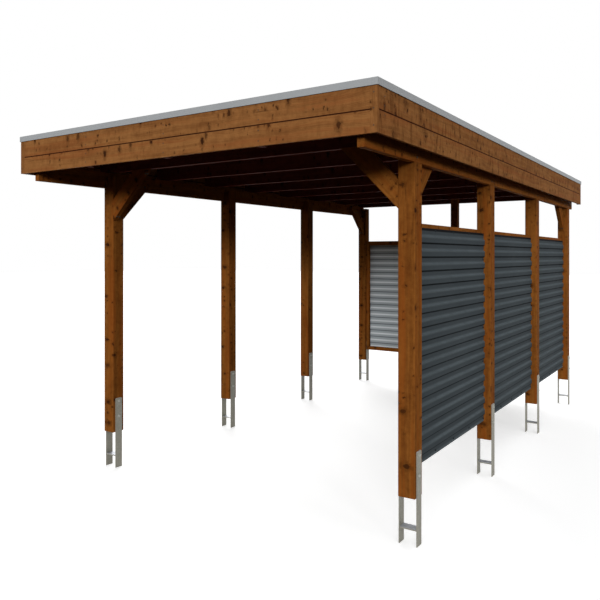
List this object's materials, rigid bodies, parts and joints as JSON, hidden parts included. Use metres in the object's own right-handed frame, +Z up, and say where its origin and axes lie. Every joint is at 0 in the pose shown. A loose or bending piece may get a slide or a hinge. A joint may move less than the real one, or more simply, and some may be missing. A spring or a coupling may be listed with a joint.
{
  "type": "carport",
  "caption": "Flat-roofed timber single carport on steel anchors, with boarded roof edge, metal edge trim, and ribbed sheet walls along the right side and the rear.",
  "frame": {"origin": "on the floor under the middle of the roof, at the level of the anchors' lower ends", "axes": "+Z up, +Y along the carport from the open front to the rear wall, +X to the side with the wall"},
  "size_m": [3.127, 5.687, 2.77],
  "materials": {
    "posts": "stained, satin",
    "galvanised_steel": "hot-dip galvanised, matt",
    "beams": "stained, satin",
    "rafters": "stained, satin",
    "braces": "stained, satin",
    "fascia_boards": "stained, satin",
    "corner_boards": "stained, satin",
    "packing_blocks": "sawn, stained",
    "edge_trim": "plain, dull",
    "roof_sheet": "coated, matt",
    "wall_frames": "stained, satin",
    "wall_sheet": "coated grey, satin"
  },
  "bodies": {
    "root": {"post_left_1": "posts", "post_left_2": "posts", "post_left_3": "posts", "post_left_4": "posts", "post_right_1": "posts", "post_right_2": "posts", "post_right_3": "posts", "post_right_4": "posts", "post_rear_middle": "posts", "anchors_left": "galvanised_steel", "anchors_right": "galvanised_steel", "anchor_rear_middle": "galvanised_steel", "beam_left": "beams", "beam_right": "beams", "rafters": "rafters", "front_brace_left": "braces", "front_brace_right": "braces", "beam_brace_front_left": "braces", "beam_brace_front_right": "braces", "beam_brace_rear_left": "braces", "beam_brace_rear_right": "braces", "fascia_front_upper": "fascia_boards", "fascia_front_lower": "fascia_boards", "fascia_rear": "fascia_boards", "fascia_left_upper": "fascia_boards", "fascia_left_lower": "fascia_boards", "fascia_right_upper": "fascia_boards", "fascia_right_lower": "fascia_boards", "corner_boards": "corner_boards", "packing_blocks": "packing_blocks", "cap_front": "edge_trim", "cap_rear": "edge_trim", "cap_left": "edge_trim", "cap_right": "edge_trim", "roof_sheets": "roof_sheet", "wall_frame_right_1": "wall_frames", "wall_frame_right_2": "wall_frames", "wall_frame_right_3": "wall_frames", "wall_frame_rear_1": "wall_frames", "wall_frame_rear_2": "wall_frames", "wall_sheet_right_1": "wall_sheet", "wall_sheet_right_2": "wall_sheet", "wall_sheet_right_3": "wall_sheet", "wall_sheet_rear_1": "wall_sheet", "wall_sheet_rear_2": "wall_sheet"}
  },
  "joints": []
}
